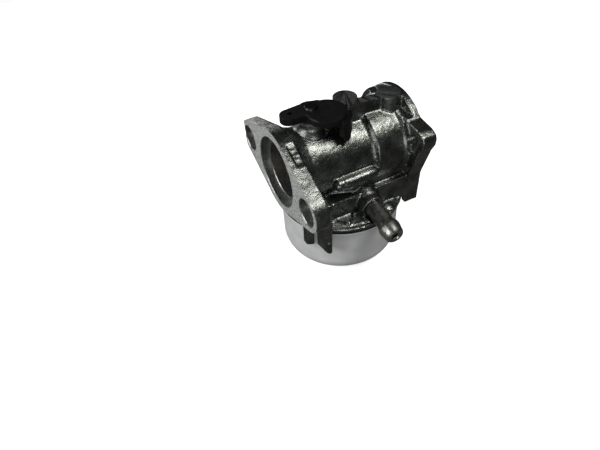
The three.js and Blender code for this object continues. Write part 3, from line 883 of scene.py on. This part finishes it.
def nozzle(material):
    loop = [(0.8, -4.3), (2.5, -4.3), (2.7, -4.1), (2.7, 3), (1.9, 3), (1.9, 4.8), (2.7, 4.8), (2.7, 8.2), (2.5, 8.4),
            (1.6, 8.4), (1.6, 15.7), (1.4, 16), (0.8, 16)]
    return finish_piece(as_object("emulsion_tube", lathe(loop, 48)), "housing", "main_nozzle", "brass", material)


def bleed_jet(material):
    loop = rounded([(0.5, AIR_X[1] - 2.7), (1.6, AIR_X[1] - 2.7), (1.6, AIR_X[1] - 0.2), (0.5, AIR_X[1] - 0.2)], 0.2)
    jet = as_object("bleed_jet", moved(lathe(loop, 40, "x"), 0, -17, BORE_Z - 4))
    return finish_piece(jet, "housing", "air_bleed_jet", "brass", material)


def paint_cad_node(name, material):
    """A hidden CAD node keeps its shape and takes a procedural finish."""
    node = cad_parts[name]
    node.data.materials.clear()
    node.data.materials.append(material)


def build_carburetor():
    rubber = moulded_black("black_rubber", 0.012, (0.55, 0.75), 0.2, 0.02)
    nylon = moulded_black("black_nylon")
    plated = turned_metal("plated_steel", (0.42, 0.41, 0.37), (0.60, 0.58, 0.52), "z")
    stamped = turned_metal("stamped_plug_steel", (0.38, 0.38, 0.37), (0.58, 0.58, 0.56), "x")
    brass = turned_metal("brass", (0.42, 0.29, 0.11), (0.66, 0.48, 0.20), "z")
    steel = turned_metal("turned_steel", (0.26, 0.26, 0.25), (0.44, 0.44, 0.42), "z")
    blackened = turned_metal("blackened_steel", (0.02, 0.02, 0.02), (0.06, 0.06, 0.058), "z", (0.30, 0.42))
    tube = turned_metal("dull_turned_tube", (0.24, 0.24, 0.22), (0.40, 0.40, 0.37), "y", (0.26, 0.40))
    foam = moulded_black("float_foam", 0.04, (0.8, 0.95), 0.5, 0.05)
    casting(cast_metal(), machined_metal(), bore_metal_painted_shade())
    bowl(zinc_plated_bowl())
    simple_ring("seam_gasket", "bowl_gasket", "black_rubber", rubber, BOWL_R - 1.3, BOWL_R + 0.7,
                BOWL_RIM_Z + GAP - 0.25, COVER_Z[0] - GAP + 0.25, 0.35, 128)
    simple_ring("bolt_washer", "bowl_bolt_washer", "fibre", pressed_fibre(), 3.4, 6.6,
                RECESS_CEILING_Z - 1.3, RECESS_CEILING_Z - GAP, 0.15)
    seal = simple_ring("shaft_seal", "throttle_shaft_seal", "black_rubber", rubber, 2.6, 4.4,
                       BOSS_TOP_Z + 0.05, LEVER_Z[0] - 0.15, 0.4)
    seal.data.transform(Matrix.Translation((SHAFT_X * MM, 0, 0)))
    bowl_bolt(plated)
    throttle_lever(nylon)
    throttle_shaft(blackened)
    throttle_plate(brass)
    plate_screw(plated)
    inlet_tube(tube)
    front = Matrix.Translation((-10.6, RIB_Y, RIB_Z)) @ Matrix.Rotation(math.radians(-90), 4, "Y")
    ball_plug("rib_ball_plug", "passage_plug_front", front, stamped)
    far = Matrix.Translation((-6, WALL_Y - 0.4, 7.5)) @ Matrix.Rotation(math.radians(-90), 4, "X")
    ball_plug("far_ball_plug", "passage_plug_far", far, stamped)
    cup_plug(stamped)
    nozzle(brass)
    bleed_jet(brass)
    for name, material in (("inlet_seat", rubber), ("nozzle_o_ring", rubber), ("inlet_needle", plated),
                           ("float", foam), ("float_hinge_pin", steel), ("main_jet", brass), ("idle_jet", brass)):
        paint_cad_node(name, material)


# ---- stage, light and camera ----------------------------------------------------------------------
def camera_ray_choice(nodes, links):
    path = nodes.new("ShaderNodeLightPath")
    mix = nodes.new("ShaderNodeMixShader")
    links.new(path.outputs["Is Camera Ray"], mix.inputs["Fac"])
    return mix


def pale_floor():
    """A plain floor that is pale to look at and mid grey in what it reflects, so the metal keeps its depth."""
    mesh = bpy.data.meshes.new("floor")
    half = 6.0
    level = cad_box[0][2]
    mesh.from_pydata([(x, y, level) for x, y in ((-half, -half), (half, -half), (half, half), (-half, half))], [],
                     [(0, 1, 2, 3)])
    floor = bpy.data.objects.new("floor", mesh)
    bpy.context.scene.collection.objects.link(floor)
    material = bpy.data.materials.new("floor_paper")
    material.use_nodes = True
    nodes, links = material.node_tree.nodes, material.node_tree.links
    nodes.clear()
    paper, reflected = nodes.new("ShaderNodeBsdfDiffuse"), nodes.new("ShaderNodeBsdfDiffuse")
    paper.inputs["Color"].default_value = (0.9, 0.9, 0.9, 1)
    glow, shown = nodes.new("ShaderNodeEmission"), nodes.new("ShaderNodeAddShader")
    glow.inputs["Strength"].default_value = 0.72
    links.new(paper.outputs[0], shown.inputs[0])
    links.new(glow.outputs[0], shown.inputs[1])
    reflected.inputs["Color"].default_value = (0.12, 0.12, 0.12, 1)
    mix = camera_ray_choice(nodes, links)
    output = nodes.new("ShaderNodeOutputMaterial")
    links.new(reflected.outputs[0], mix.inputs[1])
    links.new(shown.outputs[0], mix.inputs[2])
    links.new(mix.outputs[0], output.inputs["Surface"])
    mesh.materials.append(material)


def studio_world():
    world = bpy.data.worlds.new("studio")
    bpy.context.scene.world = world
    world.use_nodes = True
    nodes, links = world.node_tree.nodes, world.node_tree.links
    nodes.clear()
    shown, lit = nodes.new("ShaderNodeBackground"), nodes.new("ShaderNodeBackground")
    shown.inputs["Color"].default_value = (0.9, 0.9, 0.9, 1)
    lit.inputs["Color"].default_value = (0.035, 0.037, 0.04, 1)
    mix = camera_ray_choice(nodes, links)
    output = nodes.new("ShaderNodeOutputWorld")
    links.new(lit.outputs[0], mix.inputs[1])
    links.new(shown.outputs[0], mix.inputs[2])
    links.new(mix.outputs[0], output.inputs["Surface"])


def softbox(name, place, size, watts, colour=(1, 1, 1)):
    """An area light at a place in mm about the bowl's axis, aimed at the middle of the body."""
    light = bpy.data.lights.new(name, "AREA")
    light.shape = "RECTANGLE"
    light.size, light.size_y = size
    light.energy = watts
    light.color = colour
    lamp = bpy.data.objects.new(name, light)
    bpy.context.scene.collection.objects.link(lamp)
    spot = ORIGIN + Vector(place) * MM
    aim = ORIGIN + Vector((0, 0, 10)) * MM
    lamp.matrix_world = Matrix.Translation(spot) @ (spot - aim).to_track_quat("Z", "Y").to_matrix().to_4x4()


def photo_camera():
    camera = bpy.data.cameras.new("camera")
    camera.lens = 29.283
    camera.sensor_width = 36
    camera.clip_start = 0.005
    seen = bpy.data.objects.new("camera", camera)
    bpy.context.scene.collection.objects.link(seen)
    bpy.context.scene.camera = seen
    yaw = Matrix.Rotation(math.radians(-24.0526), 4, "Z")
    pitch = Matrix.Rotation(math.radians(90 - 44.4812), 4, "X")
    roll = Matrix.Rotation(math.radians(-4.3894), 4, "Z")
    place = ORIGIN + Vector((-83.4003, -141.5231, 140.9566)) * MM
    seen.matrix_world = Matrix.Translation(place) @ yaw @ pitch @ roll


def light_studio():
    studio_world()
    pale_floor()
    softbox("overhead", (120, -170, 410), (0.15, 0.15), 1.1, (1.0, 0.995, 0.96))
    softbox("left", (-420, 40, 200), (0.35, 0.30), 1.7)
    softbox("back", (-60, 430, 90), (0.30, 0.16), 0.55)
    softbox("front", (-200, -420, 60), (0.30, 0.16), 0.45)
    view = bpy.context.scene.view_settings
    view.view_transform = "Standard"
    view.look = "None"


build_carburetor()
light_studio()
photo_camera()
